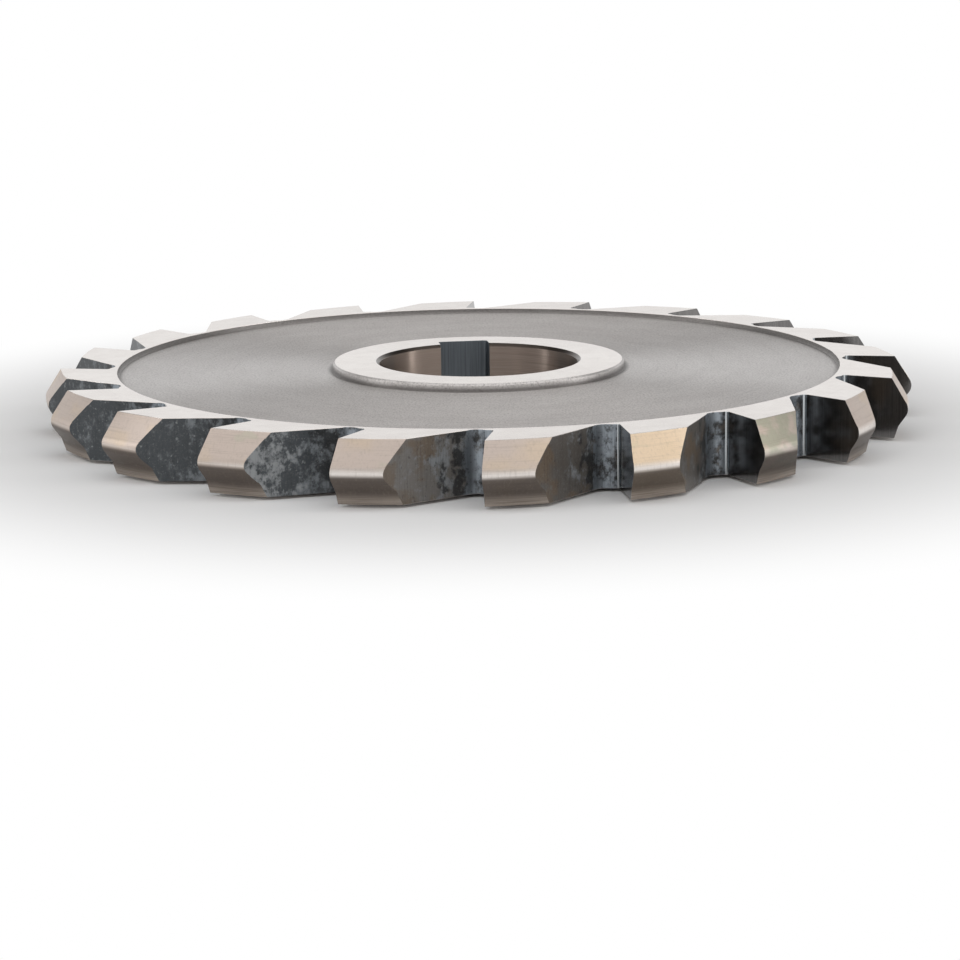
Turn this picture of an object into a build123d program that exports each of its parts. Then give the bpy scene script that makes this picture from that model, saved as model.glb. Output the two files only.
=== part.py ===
from build123d import *
from math import atan2, cos, degrees, hypot, radians, tan
import os

# A form-relieved milling cutter, 140 mm over its teeth, made as one piece of high-speed steel.
# +Z is along the bore. The cutter lies on its lower hub face, with the keyway on the +Y side.
# Lengths are in millimetres and angles in degrees, opening anticlockwise as seen from above.
# The cutter turns clockwise in that view, so each land trails anticlockwise of its cutting edge.

# Body
outside_diameter = 140.0
tooth_width = 9.5
hub_diameter = 47.0
hub_stand_out = 0.5
hub_chamfer = 0.3
web_diameter = 116.0
web_recess = 0.75
web_corner_chamfer = 0.3

# Bore and keyway, for a standard 32 mm arbor
bore_diameter = 32.0
bore_chamfer = 0.5
keyway_width = 8.1
keyway_depth = 2.8
keyway_corner_radius = 0.6

# Teeth and the gullets between them
tooth_count = 20
first_tooth_angle = -7.8
rake_angle = 10.0
land_angle = 6.3
gullet_angle = 45.0
gullet_root_radius = 2.0

# Grinding of the cutting faces, which stops by a margin above the deepest point of the root
grinding_stock = 0.25
grinding_margin = 0.35
grinding_width = 1.5
grinding_corner_radius = 0.5

# Profile of the cutting edge, from the upper side of the tooth down to the lower side
corner_drop = 2.6
upper_flank_angle = 32.0
lower_flank_angle = 35.0
nose_radius = 2.0
foot_height = 2.0
foot_angle = 18.0
foot_radius = 2.0

# Form relief: how far a land falls in one tooth pitch, and where its cut begins
cam_drop = 2.75
relief_lead_in = 3.0

# Metal left on the turned blank outside the noses, and how far a tool runs past the metal
blank_allowance = 0.5
overrun = 1.0

# Radii and heights that follow
outside_radius = outside_diameter / 2
blank_radius = outside_radius + blank_allowance
web_radius = web_diameter / 2
hub_radius = hub_diameter / 2
bore_radius = bore_diameter / 2
tooth_bottom = hub_stand_out
tooth_top = tooth_bottom + tooth_width
hub_top = tooth_top + hub_stand_out
web_bottom = tooth_bottom + web_recess
web_top = tooth_top - web_recess
pitch_angle = 360 / tooth_count

# Gullet
# Its section is drawn beside the tooth whose nose lies on +X. One side is that tooth's cutting
# face, which leans back under the nose by the rake angle. The other is the back of the tooth
# before it, and starts at the heel of that tooth's land.
nose = Vector(outside_radius, 0)
heel_radius = outside_radius - cam_drop * land_angle / pitch_angle
heel = Vector(heel_radius, 0).rotate(Axis.Z, land_angle - pitch_angle)
rake_direction = Vector(1, 0).rotate(Axis.Z, -rake_angle)
back_direction = rake_direction.rotate(Axis.Z, -gullet_angle)
into_tooth = rake_direction.rotate(Axis.Z, 90)
milled_nose = nose - grinding_stock * into_tooth

# The rounded root's deepest point, as far as this above the point where the two sides would meet
root_rise = gullet_root_radius * (1 / tan(radians(gullet_angle / 2)) - 1)

with BuildPart() as gullet:
    with BuildSketch(Plane.XY.offset(tooth_bottom - overrun)):
        with BuildLine():
            milled_foot = milled_nose - outside_radius * rake_direction
            milled_side = Line(milled_foot, milled_nose, mode=Mode.PRIVATE)
            back_side = IntersectingLine(heel, -back_direction, milled_side, mode=Mode.PRIVATE)
            root = back_side @ 1
            rake_end = root + blank_radius * rake_direction
            back_end = root + blank_radius * back_direction
            FilletPolyline(rake_end, root, back_end, radius=[gullet_root_radius])
            Line(back_end, rake_end)
        make_face()
        # The grinding wheel takes a last thin layer off the cutting face, down to its own corner.
        grinding_end = root + grinding_stock * into_tooth + (root_rise + grinding_margin) * rake_direction
        with Locations(grinding_end):
            Rectangle(
                blank_radius,
                grinding_width,
                rotation=-rake_angle,
                align=(Align.MIN, Align.MAX),
            )
        ground_corner = vertices().sort_by_distance(grinding_end)[0]
        fillet(ground_corner, grinding_corner_radius)
        Circle(blank_radius + overrun, mode=Mode.INTERSECT)
    extrude(amount=tooth_width + 2 * overrun)

# Form relief
# The profile is swung about an axis of its own, set off from the bore, so that the whole land
# falls away evenly behind the cutting edge and keeps its profile when the cutting face is ground.
# What is drawn is the space outside the land, as far out as the blank reaches.
relief_offset = cam_drop / radians(pitch_angle)
relief_axis = Axis((0, -relief_offset, 0), (0, 0, 1))
swing_radius = hypot(outside_radius, relief_offset)
swing_start = degrees(atan2(relief_offset, outside_radius)) - relief_lead_in
run_out_angle = (land_angle + pitch_angle) / 2
relief_arc = relief_lead_in + run_out_angle

# The two flanks would meet in a sharp ridge, this far outside the rounded nose.
flank_tilt = radians(upper_flank_angle - lower_flank_angle) / 2
flank_lean = radians(upper_flank_angle + lower_flank_angle) / 2
ridge_radius = swing_radius + nose_radius * (cos(flank_tilt) / cos(flank_lean) - 1)
corner_radius = swing_radius - corner_drop
upper_slope = tan(radians(upper_flank_angle))
lower_slope = tan(radians(lower_flank_angle))
foot_slope = tan(radians(foot_angle))
ridge_z = tooth_top - (ridge_radius - corner_radius) / upper_slope
foot_z = tooth_bottom + foot_height
foot_ridge_radius = ridge_radius - (ridge_z - foot_z) * lower_slope
clear_radius = swing_radius + cam_drop + blank_allowance + overrun

swing_direction = Vector(1, 0).rotate(Axis.Z, swing_start)
swing_plane = Plane(
    origin=relief_axis.position,
    x_dir=swing_direction,
    z_dir=swing_direction.rotate(Axis.Z, -90),
)

with BuildPart() as form_relief:
    with BuildSketch(swing_plane):
        with BuildLine():
            above = (corner_radius - overrun * upper_slope, tooth_top + overrun)
            ridge = (ridge_radius, ridge_z)
            foot = (foot_ridge_radius, foot_z)
            below = (foot_ridge_radius - (foot_height + overrun) * foot_slope, tooth_bottom - overrun)
            FilletPolyline(above, ridge, foot, below, radius=[nose_radius, foot_radius])
            Polyline(below, (clear_radius, below[1]), (clear_radius, above[1]), above)
        make_face()
    revolve(axis=relief_axis, revolution_arc=relief_arc)

# Cutter
with BuildPart() as milling_cutter:
    # The turned blank is the bore, the two hubs, the thinner web and the rim, in one revolve.
    with BuildSketch(Plane.XZ):
        with BuildLine():
            Polyline(
                (bore_radius, 0),
                (hub_radius, 0),
                (hub_radius, web_bottom),
                (web_radius, web_bottom),
                (web_radius, tooth_bottom),
                (blank_radius, tooth_bottom),
                (blank_radius, tooth_top),
                (web_radius, tooth_top),
                (web_radius, web_top),
                (hub_radius, web_top),
                (hub_radius, hub_top),
                (bore_radius, hub_top),
                close=True,
            )
        make_face()
    revolve(axis=Axis.Z)

    # The turning tool's broken corner stays round the hubs and inside the rims.
    rings = milling_cutter.edges().filter_by(GeomType.CIRCLE)
    web_rings = rings.filter_by_position(Axis.Z, web_bottom, web_bottom)
    web_rings += rings.filter_by_position(Axis.Z, web_top, web_top)
    chamfer(web_rings, web_corner_chamfer)

    # The hubs' rims and the mouths of the bore are broken with small chamfers.
    rings = milling_cutter.edges().filter_by(GeomType.CIRCLE)
    end_rings = rings.filter_by_position(Axis.Z, 0, 0) + rings.filter_by_position(Axis.Z, hub_top, hub_top)
    chamfer(end_rings.filter_by(lambda ring: ring.radius > bore_radius + bore_chamfer), hub_chamfer)
    rings = milling_cutter.edges().filter_by(GeomType.CIRCLE)
    end_rings = rings.filter_by_position(Axis.Z, 0, 0) + rings.filter_by_position(Axis.Z, hub_top, hub_top)
    chamfer(end_rings.sort_by(SortBy.RADIUS)[:2], bore_chamfer)

    # The keyway is broached through the bore.
    with BuildSketch(Plane.XY.offset(-overrun)):
        keyway_reach = bore_radius + keyway_depth
        Rectangle(keyway_width, keyway_reach, align=(Align.CENTER, Align.MIN))
        fillet(vertices().group_by(Axis.Y)[-1], keyway_corner_radius)
    extrude(amount=hub_top + 2 * overrun, mode=Mode.SUBTRACT)

    # The gullets are milled and the cutting faces ground, and then each land is relieved.
    with PolarLocations(0, tooth_count, start_angle=first_tooth_angle):
        add(gullet.part, mode=Mode.SUBTRACT)
        add(form_relief.part, mode=Mode.SUBTRACT)

milling_cutter.part.label = "milling_cutter"

os.makedirs("parts", exist_ok=True)
export_step(milling_cutter.part, "parts/milling_cutter.step")
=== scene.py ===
import math
from collections import namedtuple

import bmesh
import bpy
from mathutils import Matrix, Vector


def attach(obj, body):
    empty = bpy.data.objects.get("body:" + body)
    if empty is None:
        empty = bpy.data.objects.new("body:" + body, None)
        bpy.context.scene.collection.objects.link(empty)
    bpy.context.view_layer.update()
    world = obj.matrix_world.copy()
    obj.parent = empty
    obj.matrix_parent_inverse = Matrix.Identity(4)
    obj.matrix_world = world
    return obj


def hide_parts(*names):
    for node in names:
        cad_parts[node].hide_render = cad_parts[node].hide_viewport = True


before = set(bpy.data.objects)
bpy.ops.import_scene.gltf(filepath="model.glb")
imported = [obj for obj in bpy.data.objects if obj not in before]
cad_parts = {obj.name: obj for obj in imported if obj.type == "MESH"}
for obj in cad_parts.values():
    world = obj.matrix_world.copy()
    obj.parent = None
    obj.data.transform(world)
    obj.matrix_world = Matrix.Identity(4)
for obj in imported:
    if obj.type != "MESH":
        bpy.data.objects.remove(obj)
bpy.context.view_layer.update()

scene = bpy.context.scene
scene.view_settings.view_transform = "Standard"


# Camera
# A long lens looks a little down on the cutter, from the side away from its keyway, and circles
# the point where the cutter's axis meets the plane of its upper tooth sides.
mm = 0.001
aim = Vector((0, 0, 10 * mm))
camera_distance = 533.7 * mm
camera_azimuth = math.radians(-8)
camera_elevation = math.radians(9.483)
camera_dip = math.radians(11.525)
camera_roll = math.radians(-0.745)
sensor_width = 36
focal_length = 123.9
nearest_seen = 10 * mm

camera_data = bpy.data.cameras.new("camera")
camera_data.sensor_width = sensor_width
camera_data.lens = focal_length
camera_data.clip_start = nearest_seen
camera = bpy.data.objects.new("camera", camera_data)
scene.collection.objects.link(camera)
camera_turn = Matrix.Rotation(camera_azimuth, 4, "Z")
climb = Matrix.Rotation(-camera_elevation, 4, "X")
tip = Matrix.Rotation(math.pi / 2 - camera_dip, 4, "X")
roll = Matrix.Rotation(camera_roll, 4, "Z")
camera_spot = aim + camera_turn @ climb @ Vector((0, -camera_distance, 0))
camera.matrix_world = Matrix.Translation(camera_spot) @ camera_turn @ tip @ roll
scene.camera = camera


# Table
# A smooth white table top, far larger than the cutter. Near the cutter it takes light and shadow
# as white laminate does, and a hand's breadth off it fades into the white of the room.
def linear(hex_colour):
    channels = [int(hex_colour[start : start + 2], 16) / 255 for start in (1, 3, 5)]
    return [c / 12.92 if c <= 0.04045 else ((c + 0.055) / 1.055) ** 2.4 for c in channels] + [1]


def add_node(tree, kind, inputs=(), **settings):
    node = tree.nodes.new("ShaderNode" + kind)
    for setting, value in settings.items():
        setattr(node, setting, value)
    for socket, value in dict(inputs).items():
        if isinstance(value, bpy.types.NodeSocket):
            tree.links.new(value, node.inputs[socket])
        else:
            node.inputs[socket].default_value = value
    return node


def new_material(name):
    material = bpy.data.materials.new(name)
    material.use_nodes = True
    material.node_tree.nodes.clear()
    return material


# 1 for what the camera, a mirror or glass looks at, and 0 for what only gives light.
def looked_at(tree):
    rays = add_node(tree, "LightPath").outputs
    seen = {0: rays["Is Camera Ray"], 1: rays["Is Glossy Ray"]}
    seen = add_node(tree, "Math", seen, operation="MAXIMUM").outputs[0]
    seen = {0: seen, 1: rays["Is Transmission Ray"]}
    return add_node(tree, "Math", seen, operation="MAXIMUM").outputs[0]


table_radius = 2.5
table_corners = 96
shadow_reach = 60 * mm
white_from = 125 * mm

laminate = new_material("white laminate")
tree = laminate.node_tree
place = add_node(tree, "TexCoord").outputs["Object"]
distance = add_node(tree, "VectorMath", {0: place}, operation="LENGTH").outputs["Value"]
fade = {"Value": distance, "From Min": shadow_reach, "From Max": white_from}
fade = add_node(tree, "MapRange", fade, interpolation_type="SMOOTHSTEP").outputs["Result"]
fade = add_node(tree, "Math", {0: fade, 1: looked_at(tree)}, operation="MULTIPLY").outputs[0]
matt = add_node(tree, "BsdfDiffuse", {"Color": linear("#f8f8f8")}).outputs[0]
white = add_node(tree, "Emission", {"Color": linear("#ffffff"), "Strength": 1}).outputs[0]
mixed = add_node(tree, "MixShader", {0: fade, 1: matt, 2: white}).outputs[0]
add_node(tree, "OutputMaterial", {"Surface": mixed})

table_mesh = bmesh.new()
bmesh.ops.create_circle(table_mesh, cap_ends=True, segments=table_corners, radius=table_radius)
table_data = bpy.data.meshes.new("table")
table_mesh.to_mesh(table_data)
table_mesh.free()
table_data.materials.append(laminate)
table = bpy.data.objects.new("table", table_data)
scene.collection.objects.link(table)


# Light
# A white room with a dim ceiling, dimmer beyond the cutter and pale on both sides. Metal mirrors it
# in full, and matt things take about half of its light. The rest comes from a wide soft box above
# the camera's side of the table and a narrow upright one at each side.
room_white = 1.0
room_fill = 0.45

# Where each part of the room starts and where it is complete, by the X, Y or Z of the direction.
right_side = (0.25, 0.75)
far_side = (0, 0.35)
left_side = (-0.6, -0.9)
walls = (0.5, 0.32)


# A tint that covers a share of the colour where a value goes from start to end.
def tinted(tree, colour, tint, value, start, end, share=1.0):
    cover = {"Value": value, "From Min": start, "From Max": end, "To Max": share}
    cover = add_node(tree, "MapRange", cover, interpolation_type="SMOOTHSTEP").outputs["Result"]
    mix = {"Factor": cover, 6: colour, 7: linear(tint)}
    return add_node(tree, "Mix", mix, data_type="RGBA").outputs[2]


world = bpy.data.worlds.new("white room")
world.use_nodes = True
scene.world = world
tree = world.node_tree
tree.nodes.clear()
direction = add_node(tree, "TexCoord").outputs["Generated"]
direction = add_node(tree, "SeparateXYZ", {0: direction}).outputs
room = tinted(tree, linear("#83807e"), "#dcdad8", direction["X"], *right_side)
room = tinted(tree, room, "#666462", direction["Y"], *far_side)
room = tinted(tree, room, "#f0eeec", direction["X"], *left_side)
room = tinted(tree, room, "#ffffff", direction["Z"], *walls)
strength = {"Value": looked_at(tree), "To Min": room_fill, "To Max": room_white}
strength = add_node(tree, "MapRange", strength).outputs["Result"]
background = add_node(tree, "Background", {"Color": room, "Strength": strength}).outputs[0]
add_node(tree, "OutputWorld", {"Surface": background})


# The spot is in metres from the cutter: to the camera's right, away from the camera, and up.
def add_soft_box(name, spot, width, height, watts):
    lamp = bpy.data.lights.new(name, "AREA")
    lamp.shape = "RECTANGLE"
    lamp.size = width
    lamp.size_y = height
    lamp.energy = watts
    soft_box = bpy.data.objects.new(name, lamp)
    scene.collection.objects.link(soft_box)
    spot = camera_turn @ Vector(spot)
    facing = (spot - aim).to_track_quat("Z", "Y").to_matrix().to_4x4()
    soft_box.matrix_world = Matrix.Translation(spot) @ facing


add_soft_box("soft box overhead", (0, -0.4, 1.2), width=2.4, height=1.6, watts=12)
add_soft_box("soft box on the left", (-0.9, -0.05, 0.4), width=0.12, height=0.7, watts=0.9)
add_soft_box("soft box on the right", (0.9, -0.05, 0.4), width=0.12, height=0.7, watts=1.1)


# Cutter
# One piece of high-speed steel: turned, milled, form-relieved, hardened and ground. Each way of
# working leaves a finish of its own, so each finish is a material, and a face has the one that
# belongs to its place on the cutter.

# The highlight is drawn out across the marks that the tool left, which are a fine bump.
def add_finish(material, colour, roughness, across, drawn_out, marks, mark_depth, metallic=1):
    tree = material.node_tree
    bump = {"Strength": 1, "Distance": mark_depth, "Height": marks}
    finish = {
        "Base Color": colour,
        "Metallic": metallic,
        "Roughness": roughness,
        "Anisotropic": drawn_out,
        "Tangent": across,
        "Normal": add_node(tree, "Bump", bump).outputs["Normal"],
    }
    surface = add_node(tree, "BsdfPrincipled", finish).outputs["BSDF"]
    add_node(tree, "OutputMaterial", {"Surface": surface})


# Noise whose grains have these sizes in millimetres.
def mottled(tree, place, sizes, detail=2, coarse=0.5):
    scale = [1 / (size * mm) for size in sizes]
    spread = add_node(tree, "VectorMath", {0: place, 1: scale}, operation="MULTIPLY").outputs["Vector"]
    noise = {"Vector": spread, "Scale": 1, "Detail": detail, "Roughness": coarse}
    return add_node(tree, "TexNoise", noise).outputs["Fac"]


# A pattern raised by an amount that goes from low to high as a value goes from start to end.
def raised(tree, pattern, value, start, end, low, high):
    amount = {"Value": value, "From Min": start, "From Max": end, "To Min": low, "To Max": high}
    amount = add_node(tree, "MapRange", amount).outputs["Result"]
    return add_node(tree, "Math", {0: pattern, 1: amount}, operation="ADD").outputs[0]


# A point's place on the cutter, its X, its height and its reach from the axis. Ringed is the place
# with its reach instead of its height, for patterns that run round the axis. Outward and upright
# are directions.
Whereabouts = namedtuple("Whereabouts", "place side height reach ringed outward upright")


def whereabouts(tree):
    place = add_node(tree, "TexCoord").outputs["Object"]
    side, ahead, height = add_node(tree, "SeparateXYZ", {0: place}).outputs
    flat = add_node(tree, "VectorMath", {0: place, 1: (1, 1, 0)}, operation="MULTIPLY").outputs["Vector"]
    reach = add_node(tree, "VectorMath", {0: flat}, operation="LENGTH").outputs["Value"]
    ringed = add_node(tree, "CombineXYZ", {"X": side, "Y": ahead, "Z": reach}).outputs["Vector"]
    outward = add_node(tree, "VectorMath", {0: flat}, operation="NORMALIZE").outputs["Vector"]
    upright = add_node(tree, "CombineXYZ", {"Z": 1.0}).outputs["Vector"]
    return Whereabouts(place, side, height, reach, ringed, outward, upright)


# Ground steel, on the hubs and the sides of the teeth: a bright, slightly warm grey. The wheel
# leaves rings about 0.05 mm apart, drawn 0.2 mm apart here so that they show.
ground_steel = new_material("ground high-speed steel")
tree = ground_steel.node_tree
at = whereabouts(tree)
rings = mottled(tree, at.ringed, (9, 9, 0.2))
clouds = mottled(tree, at.place, (3, 3, 3), detail=4)
colour = tinted(tree, linear("#dfd8d3"), "#e6e0db", clouds, 0.3, 0.7)
colour = tinted(tree, colour, "#c4beba", rings, 0.6, 0.8, share=0.4)
add_finish(
    ground_steel,
    colour,
    roughness=0.23,
    across=at.outward,
    drawn_out=0.2,
    marks=rings,
    mark_depth=0.0003 * mm,
)

# Turned steel, on the web between hub and teeth and on the chamfers of hub and rim: matt, because
# the tool's feed marks were left and then blasted. The rings are 0.3 mm apart and grit has roughened
# them. The corners at the foot of the hub and of the rim are darkened with painted shade.
hub_radius = 23.5 * mm
web_radius = 58 * mm
middle_height = 5.25 * mm
half_web = 4 * mm
painted_shade_width = 1.1 * mm

turned_steel = new_material("turned high-speed steel")
tree = turned_steel.node_tree
at = whereabouts(tree)
rings = mottled(tree, at.ringed, (14, 14, 0.3))
grit = mottled(tree, at.place, (0.3, 0.3, 0.3), detail=3, coarse=0.7)
clouds = mottled(tree, at.ringed, (12, 12, 5), detail=4, coarse=0.6)
off_middle = add_node(tree, "Math", {0: at.height, 1: middle_height}, operation="SUBTRACT").outputs[0]
off_middle = add_node(tree, "Math", {0: off_middle}, operation="ABSOLUTE").outputs[0]
section = add_node(tree, "CombineXYZ", {"X": at.reach, "Y": off_middle}).outputs["Vector"]
hub_foot = Vector((hub_radius, half_web, 0))
from_foot = add_node(tree, "VectorMath", {0: section, 1: hub_foot}, operation="DISTANCE").outputs["Value"]
colour = tinted(tree, linear("#dad6d4"), "#e7e4e2", clouds, 0.3, 0.7, share=0.6)
colour = tinted(tree, colour, "#6e6a67", grit, 0.4, 0.75, share=0.55)
colour = tinted(tree, colour, "#77736f", rings, 0.55, 0.8, share=0.2)
# Painted shade: the corners at the foot of the hub and of the rim are darkened.
colour = tinted(tree, colour, "#4a4643", from_foot, painted_shade_width, 0, share=0.9)
colour = tinted(tree, colour, "#4a4643", at.reach, web_radius - painted_shade_width, web_radius, share=0.75)
add_finish(
    turned_steel,
    colour,
    roughness=0.5,
    across=at.outward,
    drawn_out=0.75,
    marks=add_node(tree, "Math", {0: grit, 1: 2, 2: rings}, operation="MULTIPLY_ADD").outputs[0],
    mark_depth=0.004 * mm,
)

# Form-relieved steel, on the lands: the tool scrapes lines along the land, with a little chatter
# across them. The land round one tooth is painted lighter and straw-warm, a painted highlight, and
# below the noses the flanks are painted brown, a painted shade. A patchy film of oil is greenish on
# the next tooth. The noses carry a painted highlight, narrower on one side, and the feet a paler one.
nose_height = 5.3 * mm
nose_highlight_width = 1.1 * mm
narrower_highlight_width = 0.7 * mm
highlight_spot = Vector((18, -68, 6)) * mm
oiled_spot = Vector((37, -58, 8)) * mm
film_raggedness = 25 * mm

# Where each tint starts and where it is complete: from its spot, by height, and along X.
highlight_near = (24 * mm, 5 * mm)
oiled_near = (20 * mm, 14 * mm)
dimmed_near = (12 * mm, 8 * mm)
painted_shade_height = (nose_height, 4.6 * mm)
foot_highlight_height = (2.4 * mm, 0.6 * mm)
streaked_height = (2.5 * mm, nose_height)
narrower_highlight_side = (-50 * mm, -30 * mm)

relieved_steel = new_material("form-relieved high-speed steel")
tree = relieved_steel.node_tree
at = whereabouts(tree)
lines = mottled(tree, at.place, (7, 7, 0.12), detail=3)
chatter = mottled(tree, at.place, (0.35, 0.35, 6), detail=3)
grain = mottled(tree, at.place, (0.3, 0.3, 0.3), detail=3, coarse=0.7)
tints = mottled(tree, at.place, (7, 7, 4))
film = mottled(tree, at.place, (3, 3, 2))
streaked = raised(tree, lines, at.height, *streaked_height, 0.08, -0.25)
from_highlight_spot = {0: at.place, 1: highlight_spot}
from_highlight_spot = add_node(tree, "VectorMath", from_highlight_spot, operation="DISTANCE").outputs["Value"]
from_oiled = {0: at.place, 1: oiled_spot}
from_oiled = add_node(tree, "VectorMath", from_oiled, operation="DISTANCE").outputs["Value"]
oiled = {0: film, 1: film_raggedness, 2: from_oiled}
oiled = add_node(tree, "Math", oiled, operation="MULTIPLY_ADD").outputs[0]
from_nose = add_node(tree, "Math", {0: at.height, 1: nose_height}, operation="SUBTRACT").outputs[0]
from_nose = add_node(tree, "Math", {0: from_nose}, operation="ABSOLUTE").outputs[0]
from_nose = raised(tree, from_nose, at.side, *narrower_highlight_side, narrower_highlight_width, 0)
# Painted highlight: the land round one tooth is lighter and warmer.
colour = tinted(tree, linear("#c3b6ad"), "#d8c3a8", from_highlight_spot, *highlight_near, share=0.9)
colour = tinted(tree, colour, "#cdb99c", tints, 0.5, 0.7, share=0.35)
colour = tinted(tree, colour, "#a9b59a", tints, 0.36, 0.3, share=0.25)
# Painted highlight along the noses, narrower towards the left side.
colour = tinted(tree, colour, "#ebe5e0", from_nose, nose_highlight_width, 0, share=0.95)
colour = tinted(tree, colour, "#b0a297", from_oiled, *dimmed_near, share=0.6)
colour = tinted(tree, colour, "#959c88", oiled, *oiled_near, share=0.6)
# Painted shade: the lower flanks below the noses are darkened to brown.
colour = tinted(tree, colour, "#57504b", at.height, *painted_shade_height, share=0.88)
# Painted highlight: the feet of the teeth are paler.
colour = tinted(tree, colour, "#d0c4b9", at.height, *foot_highlight_height, share=0.7)
colour = tinted(tree, colour, "#8d8279", lines, 0.5, 0.75, share=0.25)
colour = tinted(tree, colour, "#57504a", streaked, 0.5, 0.75, share=0.45)
colour = tinted(tree, colour, "#91867d", chatter, 0.5, 0.75, share=0.2)
colour = tinted(tree, colour, "#91867d", grain, 0.45, 0.8, share=0.15)
add_finish(
    relieved_steel,
    colour,
    roughness=0.44,
    across=at.upright,
    drawn_out=0.3,
    marks=add_node(tree, "Math", {0: chatter, 1: 0.5, 2: lines}, operation="MULTIPLY_ADD").outputs[0],
    mark_depth=0.001 * mm,
)

# Ground cutting faces, and the wheel's rounded corner at their foot: the wheel runs along the
# axis and leaves fine upright lines, with a sharper shine than on the sides. Their dark grey is
# painted shade, and the corner's pale band is a painted highlight.
corner_highlight_reach = (60.1 * mm, 59.9 * mm)

cutting_steel = new_material("ground cutting face")
tree = cutting_steel.node_tree
at = whereabouts(tree)
streaks = mottled(tree, at.place, (0.15, 0.15, 12), detail=3)
# Painted shade: the ground steel of the cutting faces is darkened.
colour = tinted(tree, linear("#737170"), "#878584", streaks, 0.3, 0.7)
# Painted highlight: the wheel's corner is palest.
colour = tinted(tree, colour, "#bcc1c4", at.reach, *corner_highlight_reach)
add_finish(
    cutting_steel,
    colour,
    roughness=0.16,
    across=at.outward,
    drawn_out=0.2,
    marks=streaks,
    mark_depth=0.0004 * mm,
)

# Heat-treatment skin, on the backs of the teeth and in the gullets' roots: dark oxide over the
# mill's fine upright lines, slate grey on one side of the cutter and browned by oil on the other.
# It has black blotches near the roots, is rubbed bare in them, and is worn through at one heel.
root_reach = 59.3 * mm
worn_heel = Vector((-42, -54.7, 6)) * mm

# Where each change starts and where it is complete: by reach, from the worn heel, and along X.
bare_reach = (root_reach, 60.6 * mm)
blotched_reach = (root_reach, 63.5 * mm)
clouded_reach = (root_reach, 67 * mm)
worn_near = (1 * mm, 14 * mm)
unbrowned_side = (-2 * mm, -12 * mm)
slate_side = (-22 * mm, -32 * mm)
unclouded_side = (-14 * mm, -6 * mm)
unspeckled_side = (-30 * mm, -20 * mm)

skin = new_material("dark oxide on milled steel")
tree = skin.node_tree
at = whereabouts(tree)
streaks = mottled(tree, at.place, (0.14, 0.14, 9), detail=3)
patches = mottled(tree, at.place, (2.2, 2.2, 2.8), detail=6, coarse=0.7)
blots = mottled(tree, at.place, (1.8, 1.8, 2.2), detail=4)
specks = mottled(tree, at.place, (0.6, 0.6, 0.7), detail=3, coarse=0.6)
grit = mottled(tree, at.place, (0.3, 0.3, 0.3), detail=3, coarse=0.7)
stains = mottled(tree, at.place, (5, 5, 4))
clouded = raised(tree, patches, at.reach, *clouded_reach, 0.12, -0.14)
clouded = raised(tree, clouded, at.side, *unclouded_side, 0, -0.1)
blotched = add_node(tree, "Math", {0: specks, 1: 0.3, 2: blots}, operation="MULTIPLY_ADD").outputs[0]
blotched = raised(tree, blotched, at.reach, *blotched_reach, 0.14, -0.2)
from_heel = add_node(tree, "VectorMath", {0: at.place, 1: worn_heel}, operation="DISTANCE").outputs["Value"]
worn = add_node(tree, "Math", {0: specks, 1: 0.5, 2: patches}, operation="MULTIPLY_ADD").outputs[0]
worn = raised(tree, worn, from_heel, *worn_near, 0.3, 0)
bare = raised(tree, patches, at.reach, *bare_reach, 0.09, -0.3)
bare = {"Value": bare, "From Min": 0.42, "From Max": 0.66, "To Max": 0.85}
bare = add_node(tree, "MapRange", bare, interpolation_type="SMOOTHSTEP").outputs["Result"]
speckled = raised(tree, specks, at.side, *unspeckled_side, 0, -0.16)
colour = tinted(tree, linear("#605b56"), "#787470", at.side, *unbrowned_side)
colour = tinted(tree, colour, "#6d5a44", stains, 0.5, 0.62, share=0.6)
colour = tinted(tree, colour, "#43484c", at.side, *slate_side)
colour = tinted(tree, colour, "#8b8f92", patches, 0.5, 0.72, share=0.4)
colour = tinted(tree, colour, "#9ba1a6", clouded, 0.46, 0.62, share=0.6)
colour = tinted(tree, colour, "#1c1e20", blotched, 0.62, 0.75, share=0.85)
colour = tinted(tree, colour, "#a3a6a8", worn, 0.9, 1.12, share=0.9)
colour = tinted(tree, colour, "#a3abb3", bare, 0, 1)
colour = tinted(tree, colour, "#adb0b1", speckled, 0.6, 0.78, share=0.8)
colour = tinted(tree, colour, "#1d1e20", specks, 0.42, 0.28, share=0.5)
colour = tinted(tree, colour, "#a0a2a3", grit, 0.52, 0.8, share=0.35)
colour = tinted(tree, colour, "#262728", streaks, 0.45, 0.8, share=0.4)
add_finish(
    skin,
    colour,
    roughness=0.4,
    across=at.outward,
    drawn_out=0,
    marks=add_node(tree, "Math", {0: specks, 1: 0.6, 2: streaks}, operation="MULTIPLY_ADD").outputs[0],
    mark_depth=0.003 * mm,
    metallic=bare,
)

# Ground bore: the wheel goes round, so its lines do too, and draw the highlights out along the
# axis. Its steel is darkened to a brownish grey with painted shade, and darker still to the right
# and in the chamfer at the top.
darker_side = (-6 * mm, 12 * mm)
mouth_height = (9.9 * mm, 10.1 * mm)

bore_steel = new_material("ground bore")
tree = bore_steel.node_tree
at = whereabouts(tree)
lines = mottled(tree, at.place, (8, 8, 0.15), detail=3)
# Painted shade: the bore's steel is darkened to brownish grey, more so to the right.
colour = tinted(tree, linear("#a4958b"), "#867a72", at.side, *darker_side)
colour = tinted(tree, colour, "#b3a59b", lines, 0.3, 0.7, share=0.3)
colour = tinted(tree, colour, "#4b443f", at.height, *mouth_height)
add_finish(
    bore_steel,
    colour,
    roughness=0.3,
    across=at.upright,
    drawn_out=1,
    marks=lines,
    mark_depth=0.0003 * mm,
)

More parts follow.
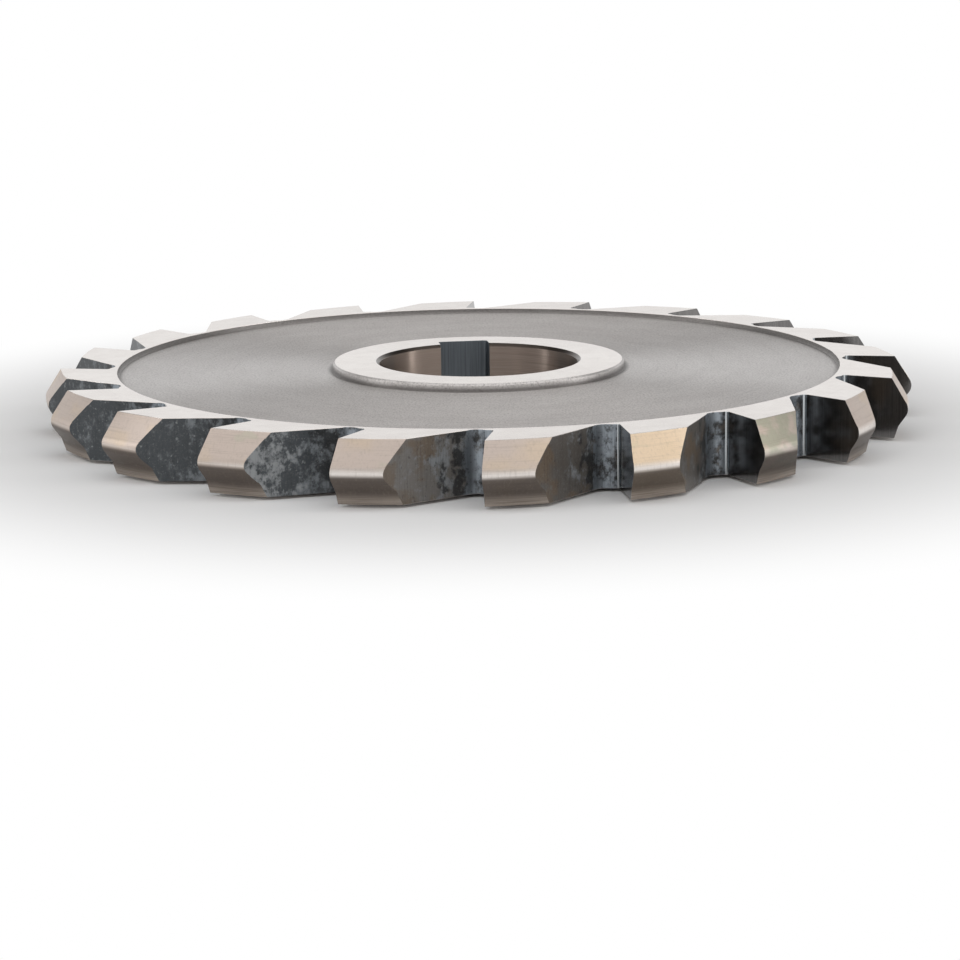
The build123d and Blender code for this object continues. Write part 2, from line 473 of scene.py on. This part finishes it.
# Broached keyway: blue-black skin, with the broach's upright lines.
keyway_steel = new_material("dark oxide on broached steel")
tree = keyway_steel.node_tree
at = whereabouts(tree)
streaks = mottled(tree, at.place, (0.2, 0.2, 12), detail=3)
colour = tinted(tree, linear("#656c72"), "#777e84", streaks, 0.3, 0.7)
add_finish(
    keyway_steel,
    colour,
    roughness=0.45,
    across=at.outward,
    drawn_out=0,
    marks=streaks,
    mark_depth=0.001 * mm,
)

# A face's finish follows from where its middle is and which way it faces. The radii and angles
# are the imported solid's, and a face lies within the slack of them.
tooth_count = 20
first_tooth_angle = math.radians(-7.8)
rake_angle = math.radians(10)
nose_reach = 70 * mm
heel_reach = 68.5 * mm
grinding_depth = 10.72 * mm
grinding_width = 1.3 * mm
bore_radius = 16 * mm
bore_chamfer = 0.5 * mm
keyway_reach = 19.5 * mm
half_tooth_width = 4.75 * mm
slack = 0.01 * mm

# Limits for the slope of a face: how much of its normal lies along an axis or a direction.
level_from = 0.99
upright_to = 0.01
outwards_from = 0.9
floor_from = 0.95

# A gullet takes up most of the pitch, ahead of the nose that it is counted with.
pitch = 2 * math.pi / tooth_count
ahead_of_nose = 0.7 * pitch
rake_direction = Vector((math.cos(rake_angle), -math.sin(rake_angle)))
into_gullet = Vector((-math.sin(rake_angle), -math.cos(rake_angle)))


def finish_of(face):
    middle = face.calc_center_median()
    reach = middle.xy.length
    outwards = face.normal.xy.dot(middle.xy) / reach
    level = abs(face.normal.z) > level_from
    upright = abs(face.normal.z) < upright_to
    if upright and reach < web_radius + slack:
        if reach > keyway_reach:
            return turned_steel
        return bore_steel if reach < bore_radius + slack and outwards < 0 else keyway_steel
    if reach < bore_radius + bore_chamfer and not level:
        return bore_steel
    recessed = abs(middle.z - middle_height) < half_tooth_width - slack
    if hub_radius < reach < web_radius and recessed:
        return turned_steel
    if level:
        return ground_steel
    if reach < web_radius:
        return turned_steel
    if not upright or (reach > heel_reach and outwards > outwards_from):
        return relieved_steel

    # The face is in a gullet. It is turned round the axis to beside the tooth whose nose is on +X.
    angle = math.atan2(middle.y, middle.x)
    behind_nose = (angle - first_tooth_angle + ahead_of_nose) % pitch - ahead_of_nose
    to_nose = Matrix.Rotation(behind_nose - angle, 2)
    from_nose = to_nose @ middle.xy - Vector((nose_reach, 0))
    depth = -from_nose.dot(rake_direction)
    width = from_nose.dot(into_gullet)
    floor = (to_nose @ face.normal.xy).dot(rake_direction) >= floor_from
    in_corner = width < grinding_width and depth < grinding_depth and not floor
    return cutting_steel if width < 2 * slack or in_corner else skin


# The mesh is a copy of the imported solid's. Its loose triangles are joined, its flat faces are made
# whole, and its outer edges get the narrow break that a rub with a stone leaves.
weld_distance = 0.001 * mm
flat_within = math.radians(0.05)
broken_from = math.radians(38)
edge_break = 0.04 * mm
sharp_from = math.radians(30)
finishes = [ground_steel, turned_steel, relieved_steel, cutting_steel, skin, bore_steel, keyway_steel]

cutter_mesh = bmesh.new()
cutter_mesh.from_mesh(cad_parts["milling_cutter"].data)
bmesh.ops.remove_doubles(cutter_mesh, verts=cutter_mesh.verts, dist=weld_distance)
for face in cutter_mesh.faces:
    face.material_index = finishes.index(finish_of(face))
bmesh.ops.dissolve_limit(
    cutter_mesh,
    angle_limit=flat_within,
    verts=cutter_mesh.verts,
    edges=cutter_mesh.edges,
    delimit={"MATERIAL"},
)
outer_edges = [edge for edge in cutter_mesh.edges if edge.is_convex and edge.calc_face_angle() > broken_from]
bmesh.ops.bevel(
    cutter_mesh,
    geom=outer_edges,
    offset=edge_break,
    offset_type="OFFSET",
    segments=1,
    profile=0.5,
    affect="EDGES",
    clamp_overlap=False,
    material=-1,
)
cutter_data = bpy.data.meshes.new("cutter")
cutter_mesh.to_mesh(cutter_data)
cutter_mesh.free()
cutter_data.shade_smooth()
cutter_data.set_sharp_from_angle(angle=sharp_from)
for finish in finishes:
    cutter_data.materials.append(finish)
cutter = bpy.data.objects.new("cutter", cutter_data)
scene.collection.objects.link(cutter)
flat_normals = cutter.modifiers.new("flat faces stay flat", "WEIGHTED_NORMAL")
flat_normals.keep_sharp = True
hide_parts("milling_cutter")
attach(cutter, "root")
